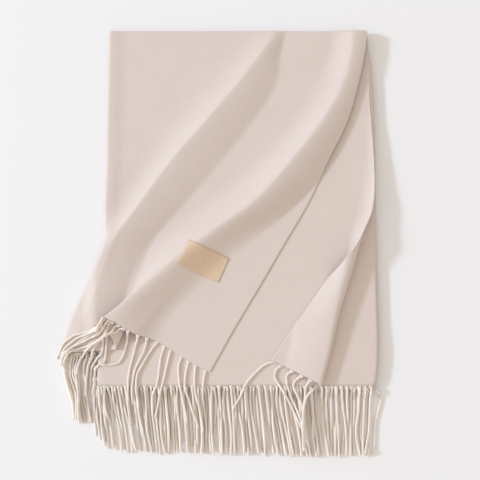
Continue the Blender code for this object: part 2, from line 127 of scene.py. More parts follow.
room = bpy.data.worlds.new("white_room")
bpy.context.scene.world = room
room.use_nodes = True
room_light = room.node_tree.nodes["Background"]
toward = add_node(room, "TexCoord", {})
sides = add_node(room, "SeparateXYZ", {}, {0: (toward, "Generated")})
brighter = add_node(room, "Math", {"operation": "MULTIPLY_ADD", 1: -ROOM_LEAN, 2: ROOM_LIGHT},
                    {0: (sides, "X")})
room_light.inputs["Color"].default_value = ROOM_COLOUR
join(brighter, 0, room_light, "Strength")

# painted board: matt white, with the faintest grain
board, board_shader = new_material("matt_white_board", {
    "Base Color": linear("#e9e9eb"), "Roughness": 0.7, "Specular IOR Level": 0.2})
where = add_node(board, "TexCoord", {})
grain = add_node(board, "TexNoise", {"Scale": 400, "Detail": 3}, {"Vector": (where, "Object")})
relief = add_node(board, "Bump", {"Strength": 0.05, "Distance": 0.0002}, {"Height": (grain, "Fac")})
join(relief, "Normal", board_shader, "Normal")

bpy.ops.mesh.primitive_plane_add(size=2 * FLOOR_HALF, location=(0, 0, -FLOOR_BELOW))
floor = bpy.context.object
floor.name = "floor"
floor.data.materials.append(board)

# ---- Hidden plies ----
# Four plies of the shawl folded under the four that show. They end near the hem in two rolls, one
# on the other, and their selvages show as thin layers along the right side. Cut and folded cloth.
PLY = 1.2  # thickness of the brushed cloth
GAP = 0.3  # air between plies
PITCH = PLY + GAP
HIDDEN_PLIES = 4  # under the four that show
HIDDEN_HEIGHT = HIDDEN_PLIES * PITCH - GAP
MIDDLE_Z = HIDDEN_HEIGHT + GAP / 2  # middle of the whole stack
LEVEL = {"under": 0.5 * PITCH, "back": 1.5 * PITCH, "middle": 2.5 * PITCH, "front": 3.5 * PITCH}
NOSE_Y = 459.0  # the top fold
NOSE_REACH = {"front": 1.45, "inner": 1.3}  # how far a ply bulges there, per unit of its level
FOLD_Y = NOSE_Y - PLY / 2 - LEVEL["front"] * NOSE_REACH["front"]  # where the flat plies start to turn
CORE_LEFT = -171.0
CORE_HEM = 12.0  # the hidden plies end this far above the hem
CORE_RIGHT_IN = 1.5  # and stay this far inside the back ply's selvage
CORE_STAGGER = (0.0, 1.6, 0.5, 2.2)  # how far each hidden selvage stops short, lowest first
CORE_SLIT = 5.0  # depth of the slits between those selvages
# the three-sided groove between the two rolls: its radius, how tall and how deep it is drawn from
# that, and how far its middle lies before their ends
GROOVE = dict(radius=3.0, tall=0.36, deep=1.6, before=1.0)
ROLL_SWELL = 1.6  # how much the rolled ends lift what lies on them
SWELL_Y = 38.0  # where that lift is greatest
SWELL_REACH = 50.0  # and how far from there it ends


def table(names, rows):
    """Rows of values under a heading of names."""
    return [dict(zip(names.split(), row)) for row in rows]


# right selvage of the back ply
BACK_EDGE = table("y x", [
    (-4, 166.5), (12, 170.5), (34, 172.5), (68, 173.4), (137, 173.0), (234, 173.4), (318, 174.3),
    (380, 173.0), (419, 170.5), (434, 168.0), (452, 166.5)])


def smooth(t):
    """0 to 1 with level ends."""
    t = min(max(t, 0.0), 1.0)
    return t * t * (3 - 2 * t)


def slope(distance, reach):
    """A swelling's share of its height at a distance from its middle."""
    return 1 - smooth(abs(distance) / reach)


def mix(a, b, t):
    """A value or a point between a and b."""
    if isinstance(a, tuple):
        return tuple(p + (q - p) * t for p, q in zip(a, b))
    return a + (b - a) * t


def steps(start, end, count):
    """Values from start to end, both included, in a count of equal steps."""
    return [start + (end - start) * i / count for i in range(count + 1)]


def at(rows, key, value):
    """The row of a table where its rising column has a value, on smooth curves through the rows."""
    last = len(rows) - 1
    i = 0
    while i < last - 1 and value > rows[i + 1][key]:
        i += 1
    a, b = rows[i], rows[i + 1]
    span = b[key] - a[key]
    t = min(max((value - a[key]) / span, 0.0), 1.0)
    before, after = rows[max(i - 1, 0)], rows[min(i + 2, last)]
    found = {}
    for name in a:
        lean_a = (b[name] - before[name]) / (b[key] - before[key]) * span
        lean_b = (after[name] - a[name]) / (after[key] - a[key]) * span
        found[name] = ((2 * t ** 3 - 3 * t ** 2 + 1) * a[name] + (t ** 3 - 2 * t ** 2 + t) * lean_a
                       + (3 * t ** 2 - 2 * t ** 3) * b[name] + (t ** 3 - t ** 2) * lean_b)
    return found


def swell(y):
    """How much the rolled ends of the hidden plies lift a ply at y."""
    return ROLL_SWELL * slope(y - SWELL_Y, SWELL_REACH)


def new_piece(name, points, faces, maps=None):
    """A smooth mesh piece from plan points; maps gives each point its place on the flat cloth."""
    mesh = bpy.data.meshes.new(name)
    mesh.from_pydata([place(*p) for p in points], [], faces)
    mesh.update()
    mesh.shade_smooth()
    if maps:
        layer = mesh.uv_layers.new(name="flat_cloth")
        corners = np.empty(len(mesh.loops), dtype=np.int32)
        mesh.loops.foreach_get("vertex_index", corners)
        layer.data.foreach_set("uv", np.asarray(maps, dtype=np.float32)[corners].ravel())
    piece = bpy.data.objects.new(name, mesh)
    bpy.context.collection.objects.link(piece)
    return piece


def brushed_cloth(name, face, shade, more=None):
    """Brushed acrylic twill, raised until it feels like cashmere: a dead-matt face under a short pale
    nap that whitens where it is seen edge on. The 0.8 mm twill lines are drawn at 1.6 mm so that they
    still show, and the nap lies in soft streaks along the warp."""
    material, shader = new_material(name, {
        "Roughness": 0.95, "Specular IOR Level": 0.12, "Sheen Weight": 0.14, "Sheen Roughness": 0.4,
        "Sheen Tint": linear("#fff4ee"), **(more or {})})
    cloth_map = add_node(material, "UVMap", {"uv_map": "flat_cloth"})
    streaked = add_node(material, "Mapping", {"Scale": (1, 0.16, 1)}, {"Vector": (cloth_map, "UV")})
    fibres = add_node(material, "TexNoise", {"Scale": 620, "Detail": 4, "Roughness": 0.62},
                      {"Vector": (streaked, "Vector")})
    clouds = add_node(material, "TexNoise", {"Scale": 26, "Detail": 3}, {"Vector": (cloth_map, "UV")})
    turned_map = add_node(material, "Mapping", {"Rotation": (0, 0, radians(58))},
                          {"Vector": (cloth_map, "UV")})
    twill = add_node(material, "TexWave", {"Scale": 196, "Distortion": 1.4, "Detail": 2, "Detail Scale": 2.0},
                     {"Vector": (turned_map, "Vector")})
    shade_share = add_node(material, "Math", {"operation": "MULTIPLY_ADD", 1: 0.5, 2: 0.0},
                           {0: (clouds, "Fac")})
    mixed = add_node(material, "Math", {"operation": "MULTIPLY_ADD", 1: 0.5},
                     {0: (fibres, "Fac"), 2: (shade_share, 0)})
    tint = add_node(material, "Mix", {"data_type": "RGBA", 6: linear(shade), 7: linear(face)},
                    {0: (mixed, 0)})
    join(tint, 2, shader, "Base Color")
    twill_height = add_node(material, "Math", {"operation": "MULTIPLY", 1: 0.12}, {0: (twill, "Fac")})
    height = add_node(material, "Math", {"operation": "ADD"}, {0: (fibres, "Fac"), 1: (twill_height, 0)})
    relief = add_node(material, "Bump", {"Strength": 0.35, "Distance": 0.0006}, {"Height": (height, 0)})
    join(relief, "Normal", shader, "Normal")
    return material


cloth_finish = brushed_cloth("brushed_twill", "#dacdc7", "#cfc2bb")


def hidden_ring(y, share):
    """Section across the hidden plies at y, with their height drawn in to a share of itself."""
    full = HIDDEN_HEIGHT + swell(y)
    tall = full * share
    base = (full - tall) / 2
    radius = HIDDEN_HEIGHT / 2
    ring = [(CORE_LEFT + radius + radius * cos(a), y, base + tall / 2 * (1 + sin(a)))
            for a in steps(-pi / 2, -3 * pi / 2, 16)]
    right = at(BACK_EDGE, "y", y)["x"] - CORE_RIGHT_IN
    for ply in reversed(range(HIDDEN_PLIES)):
        top = base + tall * (ply * PITCH + PLY) / HIDDEN_HEIGHT
        bottom = base + tall * ply * PITCH / HIDDEN_HEIGHT
        out = right - CORE_STAGGER[ply]
        half = (top - bottom) / 2
        ring += [(right - CORE_SLIT, y, top)]
        ring += [(out - half + half * cos(a), y, bottom + half + half * sin(a))
                 for a in steps(pi / 2, -pi / 2, 6)]
        if ply:
            ring += [(right - CORE_SLIT, y, bottom)]
    return ring


def apply_modifier(piece, name):
    """Fix a modifier's result in a piece's mesh."""
    bpy.ops.object.select_all(action="DESELECT")
    bpy.context.view_layer.objects.active = piece
    piece.select_set(True)
    bpy.ops.object.modifier_apply(modifier=name)


def tube(first, rings, sides):
    """The faces of a tube of rings of points, with a cap at each end."""
    faces = []
    for k in range(rings - 1):
        for m in range(sides):
            n = (m + 1) % sides
            a, b = first + k * sides, first + (k + 1) * sides
            faces.append((a + m, b + m, b + n, a + n))
    faces.append(tuple(first + m for m in range(sides)))
    faces.append(tuple(first + (rings - 1) * sides + m for m in reversed(range(sides))))
    return faces


half_core = HIDDEN_HEIGHT / 2
stations = [(CORE_HEM + half_core * (1 - cos(radians(a))), sin(radians(a))) for a in range(10, 90, 10)]
stations += [(y, 1) for y in steps(CORE_HEM + half_core, FOLD_Y - GAP, 60)]
rings = [hidden_ring(y, share) for y, share in stations]
core_points = [point for ring in rings for point in ring]
core_map = [(p[0] * MM, p[1] * MM) for p in core_points]
core = new_piece("hidden_plies", core_points, tube(0, len(rings), len(rings[0])), core_map)
bpy.ops.mesh.primitive_cylinder_add(vertices=3, radius=GROOVE["radius"] * MM, depth=0.5,
                                    rotation=(0, pi / 2, 0))
groove = bpy.context.object
groove.name = "roll_groove"
groove.scale = (GROOVE["tall"], GROOVE["deep"], 1)
groove.location = place(0, CORE_HEM - GROOVE["before"], (HIDDEN_HEIGHT + swell(CORE_HEM)) / 2)
cut = core.modifiers.new("groove", "BOOLEAN")
cut.operation = "DIFFERENCE"
cut.object = groove
apply_modifier(core, "groove")
bpy.data.objects.remove(groove, do_unlink=True)
bpy.ops.object.shade_smooth_by_angle(angle=radians(40))
core.data.materials.append(cloth_finish)
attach(core, "root")
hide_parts("folded_core")

# ---- Under ply ----
# The lowest of the four plies that show. It joins the front ply in the rolled fold on the left,
# turns over at the top and shows only at the lower left, where its hem runs out past the others.
ROLL_RETURN = 3.0  # a rolled fold runs this far under itself to its seam line
ROLL_PLACES = (1, 0.67, 0.33)  # of the points along that stretch
UNDER_IN = 1.0  # how far its selvage stays inside the back ply's
UNDER_HEM = table("x y", [
    (-218, 41), (-180, 41), (-158, 40), (-120, 24), (-60, 8), (0, 0), (50, -4), (100, -6), (172, -6)])
DROP_X = (-192.0, 20.0)  # a ply leaves the ground at this x, and is up this much on
DROP_Y = (-52.0, 60.0)  # the same, up the shawl
# where the rolled fold lies, from the top fold to the hem
LEFT_FOLD = [dict(left=point) for point in (
    (-168, 451), (-168, 425), (-168, 385), (-168, 335), (-167.5, 280), (-168.5, 228), (-169.5, 178),
    (-192, 122), (-211, 76), (-219, 41))]


def curve(before, a, b, after, t):
    """A value between a and b, on the smooth curve through them and their two neighbours."""
    return 0.5 * (2 * a + (b - before) * t + (2 * before - 5 * a + 4 * b - after) * t ** 2
                  + (3 * a - before - 3 * b + after) * t ** 3)


def between(rows, place_on):
    """The row at a place along a table, counted in rows, on smooth curves through its values."""
    place_on = min(max(place_on, 0.0), len(rows) - 1.0)
    i = min(int(place_on), len(rows) - 2)
    t = place_on - i
    four = [rows[max(i - 1, 0)], rows[i], rows[i + 1], rows[min(i + 2, len(rows) - 1)]]
    found = {}
    for key in rows[0]:
        values = [row[key] for row in four]
        if isinstance(values[0], tuple):
            found[key] = tuple(curve(*parts, t) for parts in zip(*values))
        else:
            found[key] = curve(*values, t)
    return found


def ground_drop(x, y):
    """How far a ply falls towards the ground where no hidden ply carries it."""
    carried = smooth((x - DROP_X[0]) / DROP_X[1]) * smooth((y - DROP_Y[0]) / DROP_Y[1])
    return (HIDDEN_HEIGHT + GAP) * (1 - carried)


def flat_height(x, y, level):
    """Height of a ply's middle where it lies flat."""
    return MIDDLE_Z + level + swell(y) - ground_drop(x, y)


def over_fold(x, turn, level, reach, raised=0.0):
    """A point of a ply on its way round the top fold, turn from 0 on top to pi underneath."""
    y = FOLD_Y + level * reach * sin(turn)
    z = MIDDLE_Z + level * cos(turn) + raised * cos(turn / 2) ** 4
    return (x, y, z)


def cloth(name, rows, material, thickness=PLY):
    """A shell of cloth on rows of points, with its flat map measured along the cloth in metres."""
    across = len(rows[0])
    points = [point for row in rows for point in row]
    faces = []
    for j in range(len(rows) - 1):
        for i in range(across - 1):
            a = j * across + i
            faces.append((a, a + 1, a + across + 1, a + across))
    maps = []
    along = 0.0
    middle = across // 2
    for j, row in enumerate(rows):
        if j:
            along += dist(row[middle], rows[j - 1][middle]) * MM
        reached = 0.0
        for i, point in enumerate(row):
            if i:
                reached += dist(point, row[i - 1]) * MM
            maps.append((reached, along))
    piece = new_piece(name, points, faces, maps)
    wall = piece.modifiers.new("wall", "SOLIDIFY")
    wall.thickness = thickness * MM
    wall.offset = 0
    wall.use_even_offset = True
    apply_modifier(piece, "wall")
    piece.data.materials.append(material)
    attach(piece, "root")
    return piece


under_level = LEVEL["under"]
under_rows = []
for turn in steps(pi, 0, 10)[:-1]:
    left = LEFT_FOLD[0]["left"][0] + ROLL_RETURN + GAP
    right = at(BACK_EDGE, "y", FOLD_Y)["x"] - UNDER_IN
    under_rows.append([over_fold(mix(left, right, s), turn, under_level, NOSE_REACH["inner"])
                       for s in steps(0, 1, 60)])
for along in steps(0, len(LEFT_FOLD) - 1, 110):
    left, left_y = between(LEFT_FOLD, along)["left"]
    hem_y = at(UNDER_HEM, "x", left)["y"]
    up = (left_y - hem_y) / (FOLD_Y - hem_y)
    right = at(BACK_EDGE, "y", up * FOLD_Y)["x"] - UNDER_IN
    row = []
    for x in steps(left + ROLL_RETURN + GAP, right, 60):
        y = mix(at(UNDER_HEM, "x", x)["y"], FOLD_Y, up)
        row.append((x, y, flat_height(x, y, under_level)))
    under_rows.append(row)
under_ply = cloth("under_ply", under_rows, cloth_finish)
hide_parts("under_panel")

# ---- Back ply ----
# The third ply. It lies flat, joined to the middle ply in the fold inside the left roll, and its
# right selvage and hem show where the corner above is turned back.

# the inner rolled fold, where the middle ply turns down into the back ply, and its half width
INNER_FOLD = table("y x", [(-4, -177.0), (90, -173.0), (178, -168.4), (452, -167.0)])
INNER_ROLL = 1.3
BACK_HEM_LOWER = 3.5  # how far its hem runs out under the middle ply's
BACK_LOWER_X = (60.0, 40.0)  # that lead ends over this stretch along the hem
BACK_LOWER_Y = 60.0  # and fades out up to here
back_level = LEVEL["back"]
back_rows = []


def back_row(y):
    """x of each point across the back ply at y."""
    left = at(INNER_FOLD, "y", y)["x"] + INNER_ROLL + ROLL_RETURN + GAP
    return [mix(left, at(BACK_EDGE, "y", y)["x"], s) for s in steps(0, 1, 70)]


for turn in steps(pi, 0, 12)[:-1]:
    back_rows.append([over_fold(x, turn, back_level, NOSE_REACH["inner"]) for x in back_row(FOLD_Y)])
for y in steps(FOLD_Y, 0, 130):
    row = []
    for x in back_row(y):
        lead = (1 - smooth((x - BACK_LOWER_X[0]) / BACK_LOWER_X[1])) * (1 - smooth(y / BACK_LOWER_Y))
        lower = y - BACK_HEM_LOWER * lead
        row.append((x, lower, flat_height(x, lower, back_level)))
    back_rows.append(row)
back_ply = cloth("back_ply", back_rows, cloth_finish)
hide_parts("back_panel")

# ---- Middle ply ----
# The second ply, rolled on the left into the back ply. Its right selvage lifts in a long soft wave
# and its lower right corner is turned back over itself, so its underside shows.

# its right selvage before the corner is turned back, and how far that lifts
MIDDLE_EDGE = table("y x lift", [
    (-4, 177.8, 0), (50, 173.2, 0), (75, 169.4, 0), (101, 168.6, 0), (115, 168.6, 0), (139, 166.2, 0),
    (161, 165.8, 0), (188, 165.3, 0), (205, 168.4, 0), (222, 171.5, 0.3), (261, 170.4, 0.8),
    (297, 168.9, 0.6), (335, 167.4, 0.2), (386, 168.0, 0), (425, 168.0, 0), (452, 166.5, 0)])
LIFT_REACH = 30.0  # how far in from the selvage the lift ends
# the turn's line, how far it bulges to the right, and half its height
TURN = table("y x wide half", [
    (-40, 85.4, 4.4, 4.4), (0, 95.6, 4.6, 4.6), (44, 106.8, 5.5, 5.5), (93, 117.0, 7.3, 7.0),
    (148, 131.6, 10.0, 8.5), (188, 138.8, 13.8, 13.0), (222, 148.6, 18.0, 11.0),
    (261, 155.8, 17.0, 8.0), (297, 158.5, 16.0, 7.0), (340, 162.0, 15.0, 6.0),
    (386, 172.0, 15.0, 6.0)])
TURN_LINE = (1, 5)  # the rows of the turn that give the direction of its line
TURN_DOWN = (16.0, 45.0)  # least and most distance over which the corner comes down flat
TURN_SETTLE = 1.8  # power of its way down, above 1 so that it starts gently
EDGE_BAND = 14.0  # narrowest strip along the selvage with its own columns
MIDDLE_COLUMNS = (50, 26, 26)  # up to the turn, round it, and from there to the selvage
middle_level = LEVEL["middle"]


def turned(x, y):
    """A point of the middle ply, carried round the turned corner if it lies beyond the turn."""
    first, last = [TURN[i] for i in TURN_LINE]
    run = (last["x"] - first["x"], last["y"] - first["y"])
    length = hypot(*run)
    out = (run[1] / length, -run[0] / length)
    row = at(TURN, "y", y)
    beyond = (x - row["x"]) * out[0]
    for _ in range(4):
        foot_y = y - out[1] * beyond
        row = at(TURN, "y", foot_y)
        beyond = (x - row["x"]) * out[0] + (y - foot_y) * out[1]
    edge = at(MIDDLE_EDGE, "y", y)
    lift = edge["lift"] * slope(max(edge["x"] - x, 0), LIFT_REACH)
    if beyond <= 0:
        return (x, y, flat_height(x, y, middle_level) + lift)
    radius = (row["wide"] + row["half"]) / 2
    half_turn = pi * radius
    if beyond < half_turn:
        push = row["wide"] * sin(beyond / radius)
        rise = row["half"] * (1 - cos(beyond / radius))
    else:
        push = half_turn - beyond
        reach = beyond + (edge["x"] - x) * out[0] - half_turn
        reach = min(max(reach, TURN_DOWN[0]), TURN_DOWN[1])
        settled = min((beyond - half_turn) / reach, 1.0) ** TURN_SETTLE
        rise = PITCH + (2 * row["half"] - PITCH) * (1 - settled)
    px = row["x"] + out[0] * push
    py = foot_y + out[1] * push
    return (px, py, flat_height(px, py, middle_level) + rise + lift)


def middle_columns(y):
    """x of each column of the middle ply, before the corner is turned."""
    left = at(INNER_FOLD, "y", y)["x"] + INNER_ROLL
    edge = at(MIDDLE_EDGE, "y", y)["x"]
    row = at(TURN, "y", y)
    start = min(row["x"], edge - EDGE_BAND)
    arc = min(pi * (row["wide"] + row["half"]) / 2 * 1.03, (edge - start) * 0.75)
    columns = steps(left, start, MIDDLE_COLUMNS[0])
    columns += steps(start, start + arc, MIDDLE_COLUMNS[1])[1:]
    columns += steps(start + arc, edge, MIDDLE_COLUMNS[2])[1:]
    return columns


def inner_roll(y, point):
    """The rolled fold on the left, from its seam line below to the top of the roll."""
    left = at(INNER_FOLD, "y", y)["x"] + INNER_ROLL
    centre, half = (middle_level + back_level) / 2, (middle_level - back_level) / 2
    places = [(left + ROLL_RETURN * s, back_level) for s in ROLL_PLACES]
    places += [(left - INNER_ROLL * cos(a), centre + half * sin(a)) for a in steps(-pi / 2, pi / 2, 8)[:-1]]
    return [point(x, y, at_level) for x, at_level in places]


middle_rows = []
for turn in steps(pi, 0, 14)[:-1]:
    row = inner_roll(FOLD_Y, lambda x, y, at_level: over_fold(x, turn, at_level, NOSE_REACH["inner"]))
    row += [over_fold(x, turn, middle_level, NOSE_REACH["inner"]) for x in middle_columns(FOLD_Y)]
    middle_rows.append(row)
for y in steps(FOLD_Y, 0, 170):
    row = inner_roll(y, lambda x, y, at_level: (x, y, flat_height(x, y, at_level)))
    row += [turned(x, y) for x in middle_columns(y)]
    middle_rows.append(row)
middle_ply = cloth("middle_ply", middle_rows, cloth_finish)
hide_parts("middle_panel")

# ---- Front ply ----
# The top ply, drawn down to the left so that it stands in two long ridges. The lower one ends over
# a flat pleat at the hem. It is one cloth with the under ply, round the rolled fold on the left.

# section by section from the top fold to the hem: the crest of the upper ridge, the crest of the
# lower and the selvage. h is a crest's height over the flat, wl and wr the reach of its slopes along
# the section, pl how hollow its left slope is, soft how soft the lower ridge's right slope is, lean
# how far its crest falls to the left, and rise how far the ply is lifted at the left fold
FRONT = table("upper lower edge h1 wl1 pl1 wr1 h2 wl2 pl2 wr2 soft lean rise", [
    ((44, 451), (149, 451), (165.5, 451), 3.5, 44, 2.6, 12, 8, 26, 1.8, 28, 0, 0, 0),
    ((28, 425), (145, 425), (161.5, 425), 8, 60, 3.0, 22, 10, 27, 1.9, 25, 0, 0, 0),
    ((0, 385), (134, 385), (153, 386), 12, 84, 3.4, 44, 11, 38, 2.3, 25, 0, 0, 0),
    ((-41, 335), (107, 335), (137, 333), 13.5, 88, 3.6, 54, 15.5, 52, 3.0, 33, 0, 0, 1),
    ((-87, 280), (65, 280), (111, 280), 13, 58, 3.3, 58, 19.5, 62, 2.8, 47, 0, 0, 2),
    ((-124, 228), (18, 228), (86.5, 228), 13, 40, 2.5, 51, 21.5, 70, 2.2, 51, 0.1, 0, 4),
    ((-158, 178), (-51, 176), (57, 178), 13, 14, 1.0, 44, 20, 62, 1.7, 62, 0.8, 2, 4),
    ((-176, 122), (-105, 118), (26, 125), 9, 20, 1.0, 41, 19, 32, 1.4, 63, 1, 12, 2),
    ((-195, 76), (-122, 74), (-7, 70), 7, 20, 1.0, 42, 20, 22, 1.4, 50, 1, 34, 0),
    ((-205, 41), (-127, 46), (-37, 17), 4, 18, 1.0, 42, 18, 30, 1.2, 48, 1, 53, 0)])
for section, fold in zip(FRONT, LEFT_FOLD):
    section["left"] = fold["left"]
CREST_ROUND = (3.0, 5.0)  # of the upper ridge and of the lower
CREST_SLOPE = 0.55  # share of a ridge's fall to the right that starts at its crest
CREST_FULL = 1.15  # power of that fall, above 1 so that it ends with a soft foot
CREST_SOFT = 0.75  # power of the distance down a soft slope, under 1 so that it falls away sooner
ROLL_PUFF = 1.6  # how far the cloth puffs up beside its left fold
ROLL_PUFF_REACH = 20.0
LEAN_TO = (-0.707, 0.707)  # the lower crest falls this way, up and to the left
LEAN_FROM = 0.16  # share of its height that stands before it leans
LEAN_LESS = (0.35, 0.25)  # right of the crest, the share of the lean that goes over this much of
LEAN_END = (0.45, 0.55)  # the way to the selvage, and where the rest starts to go and over how much
FRONT_HELD = 6.0  # how far past the hidden plies the ply stays up
OUTER_ROLL = 4.0  # half width of the rolled fold, front ply to under ply
UPRIGHT_FROM = -1.0  # where on the roll's arc, in radians, its upright part starts
FOOT_STEP = 0.03  # the first stretch of a section, which gives its slope there
ROW_COLUMNS = 52  # in each third of a section
CREST_CROWD = 0.6  # how much they crowd towards its ends
front_level = LEVEL["front"]


def front_height(x, y):
    """Height of the front ply's middle where it lies flat."""
    return MIDDLE_Z + front_level + swell(y) - ground_drop(x + FRONT_HELD, y)


def rounded(distance, radius):
    """A distance from a crest, measured so that the crest is round."""
    return sqrt(distance ** 2 + radius ** 2) - radius


def climb(distance, radius, reach, power):
    """A ridge's share of its height on its left: hollow at the foot, steep below the crest."""
    return max(1 - rounded(distance, radius) / reach, 0.0) ** power


def descent(distance, radius, reach, soft):
    """The same on its right: full and round, with a crease at the foot, or softer."""
    t = rounded(distance, radius) / reach
    full = max(1 - CREST_SLOPE * t - (1 - CREST_SLOPE) * t ** 2, 0.0) ** CREST_FULL
    return mix(full, 1 - smooth(t ** CREST_SOFT), soft)


def front_point(section, share):
    """A point of the front ply: share runs 0 to 1 to the upper crest, to 2 to the lower, to 3 at the
    edge. Gives its x and y, its height over the flat, and where it would lie with no lean."""
    stops = [section["left"], section["upper"], section["lower"], section["edge"]]
    i = min(int(share), 2)
    x, y = mix(stops[i], stops[i + 1], share - i)
    from_upper = x - section["upper"][0]
    from_lower = x - section["lower"][0]
    if from_upper < 0:
        up1 = climb(from_upper, CREST_ROUND[0], section["wl1"], section["pl1"])
    else:
        up1 = descent(from_upper, CREST_ROUND[0], section["wr1"], 0)
    if from_lower < 0:
        up2 = climb(from_lower, CREST_ROUND[1], section["wl2"], section["pl2"])
        fall = section["lean"] * smooth((up2 - LEAN_FROM) / (1 - LEAN_FROM))
    else:
        up2 = descent(from_lower, CREST_ROUND[1], section["wr2"], section["soft"])
        along = from_lower / (section["edge"][0] - section["lower"][0])
        fall = section["lean"] * (1 - LEAN_LESS[0] * min(along / LEAN_LESS[1], 1.0))
        fall *= 1 - smooth((along - LEAN_END[0]) / LEAN_END[1])
    raised = section["h1"] * up1 + section["h2"] * up2
    raised += section["rise"] * (1 - smooth(share))
    raised += ROLL_PUFF * slope(x - section["left"][0], ROLL_PUFF_REACH)
    return x + LEAN_TO[0] * fall, y + LEAN_TO[1] * fall, raised, x, y


shares = [0.0]
for i in range(3):
    shares += [i + mix(t, (1 - cos(pi * t)) / 2, CREST_CROWD) for t in steps(0, 1, ROW_COLUMNS)[1:]]
front_rows = []
section = between(FRONT, 0)
for turn in steps(pi, 0, 18)[:-1]:
    left = section["left"][0]
    places = [(left + ROLL_RETURN * s, under_level) for s in ROLL_PLACES]
    places += [(left - OUTER_ROLL * cos(a), mix(under_level, front_level, (1 + sin(a)) / 2))
               for a in steps(-pi / 2, pi / 2, 16)[:-1]]
    row = []
    for x, at_level in places:
        share = (at_level - under_level) / (front_level - under_level)
        reach = mix(NOSE_REACH["inner"], NOSE_REACH["front"], share)
        row.append(over_fold(x, turn, at_level, reach, front_point(section, 0)[2] * share))
    for share in shares:
        x, _, raised, _, _ = front_point(section, share)
        row.append(over_fold(x, turn, front_level, NOSE_REACH["front"], raised))
    front_rows.append(row)
for along in steps(0, len(FRONT) - 1, 170):
    section = between(FRONT, along)
    left, left_y = section["left"]
    top = front_point(section, 0)[2] + front_height(left, left_y)
    bottom = flat_height(left, left_y, under_level)
    row = [(left + ROLL_RETURN * s, left_y, flat_height(left + ROLL_RETURN * s, left_y, under_level))
           for s in ROLL_PLACES]
    step_on = front_point(section, FOOT_STEP)
    steep = max((step_on[2] - front_point(section, 0)[2]) / (step_on[0] - left), 0.0)
    shoulder = pi / 2 - atan(steep)
    bend = min(OUTER_ROLL, (top - bottom) / 2)
    upright = top - bottom - bend * (1 + sin(shoulder))
    for a in steps(-pi / 2, shoulder, 16)[:-1]:
        round_it = smooth((a + pi / 2) / (shoulder + pi / 2))
        row.append((left - OUTER_ROLL * (cos(a) - cos(shoulder) * round_it), left_y,
                    bottom + bend * (1 + sin(a))
                    + upright * smooth((a - UPRIGHT_FROM) / (shoulder - UPRIGHT_FROM))))
    for share in shares:
        x, y, raised, base_x, base_y = front_point(section, share)
        row.append((x, y, front_height(base_x, base_y) + raised))
    front_rows.append(row)
front_ply = cloth("front_ply", front_rows, cloth_finish)
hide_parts("front_panel")

# ---- Label ----
# A folded piece of smooth woven tape, sewn down along its two short ends near the front ply's edge.
# The tape is left bare.
LABEL = dict(width=55.0, depth=33.0, thick=0.7, centre=(-45.5, 153.5), turn=-24.0, lift=0.6)
# the stitches along each short end: they stand proud of the tape, and their ends sink into it
STITCH = dict(inset=2.6, long=1.5, pitch=2.1, radius=0.24, count=13, proud=0.1, sink=0.25, sides=6)

# woven satin tape: fine ribs along the weft, and a soft gleam
label_tape, tape_shader = new_material("woven_label_tape", {"Roughness": 0.6, "Sheen Weight": 0.25})
tape_map = add_node(label_tape, "UVMap", {"uv_map": "flat_cloth"})
ribs = add_node(label_tape, "TexWave", {"bands_direction": "Y", "Scale": 420, "Distortion": 0.4},
                {"Vector": (tape_map, "UV")})
tape_clouds = add_node(label_tape, "TexNoise", {"Scale": 90, "Detail": 4}, {"Vector": (tape_map, "UV")})
tape_tint = add_node(label_tape, "Mix", {"data_type": "RGBA", 6: linear("#cdb197"), 7: linear("#dcc3ac")},
                     {0: (tape_clouds, "Fac")})
tape_relief = add_node(label_tape, "Bump", {"Strength": 0.25, "Distance": 0.0002},
                       {"Height": (ribs, "Fac")})
join(tape_tint, 2, tape_shader, "Base Color")
join(tape_relief, "Normal", tape_shader, "Normal")

# spun sewing thread, paler than the tape
thread, _ = new_material("sewing_thread", {
    "Base Color": linear("#e9dccb"), "Roughness": 0.5, "Sheen Weight": 0.2})


def tree_of(piece):
    """A piece's faces, ready to be struck by rays."""
    mesh = piece.data
    return BVHTree.FromPolygons([v.co for v in mesh.vertices], [p.vertices for p in mesh.polygons])


front_tree = tree_of(front_ply)


def drop_on(tree, x, y):
    """The highest point and normal of a tree of faces under a plan place, or None."""
    top = Vector((*place(x, y, 0)[:2], 1))
    point, normal, _, _ = tree.ray_cast(top, Vector((0, 0, -1)))
    return (point.z / MM, normal) if point else None


def on_label(dx, dy, height):
    """A plan point over a place on the label, at a height over the cloth under it."""
    turn = radians(LABEL["turn"])
    x = LABEL["centre"][0] + dx * cos(turn) - dy * sin(turn)
    y = LABEL["centre"][1] + dx * sin(turn) + dy * cos(turn)
    z, normal = drop_on(front_tree, x, y)
    return (x, y, z + height / abs(normal.z))


half_width, half_depth = LABEL["width"] / 2, LABEL["depth"] / 2
label_rows = [[on_label(dx, dy, LABEL["lift"]) for dx in steps(-half_width, half_width, 40)]
              for dy in steps(-half_depth, half_depth, 24)]
label = cloth("sewn_label", label_rows, label_tape, LABEL["thick"])
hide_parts("label")

stitch_points, stitch_faces = [], []
for side in (-1, 1):
    for n in range(STITCH["count"]):
        middle = (n - (STITCH["count"] - 1) / 2) * STITCH["pitch"]
        first = len(stitch_points)
        rings = steps(-1, 1, 6)
        for s in rings:
            top = LABEL["lift"] + LABEL["thick"] / 2 + STITCH["proud"] - STITCH["sink"] * s * s
            centre = on_label(side * (half_width - STITCH["inset"]), middle + s * STITCH["long"] / 2, top)
            wide = STITCH["radius"] * sqrt(max(1 - s ** 4, 0.04))
            for a in steps(0, 2 * pi, STITCH["sides"])[:-1]:
                stitch_points.append((centre[0] + wide * cos(a), centre[1], centre[2] + wide * sin(a)))
        stitch_faces += tube(first, len(rings), STITCH["sides"])
stitches = new_piece("label_stitches", stitch_points, stitch_faces)
stitches.data.materials.append(thread)
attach(stitches, "root")
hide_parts("label")

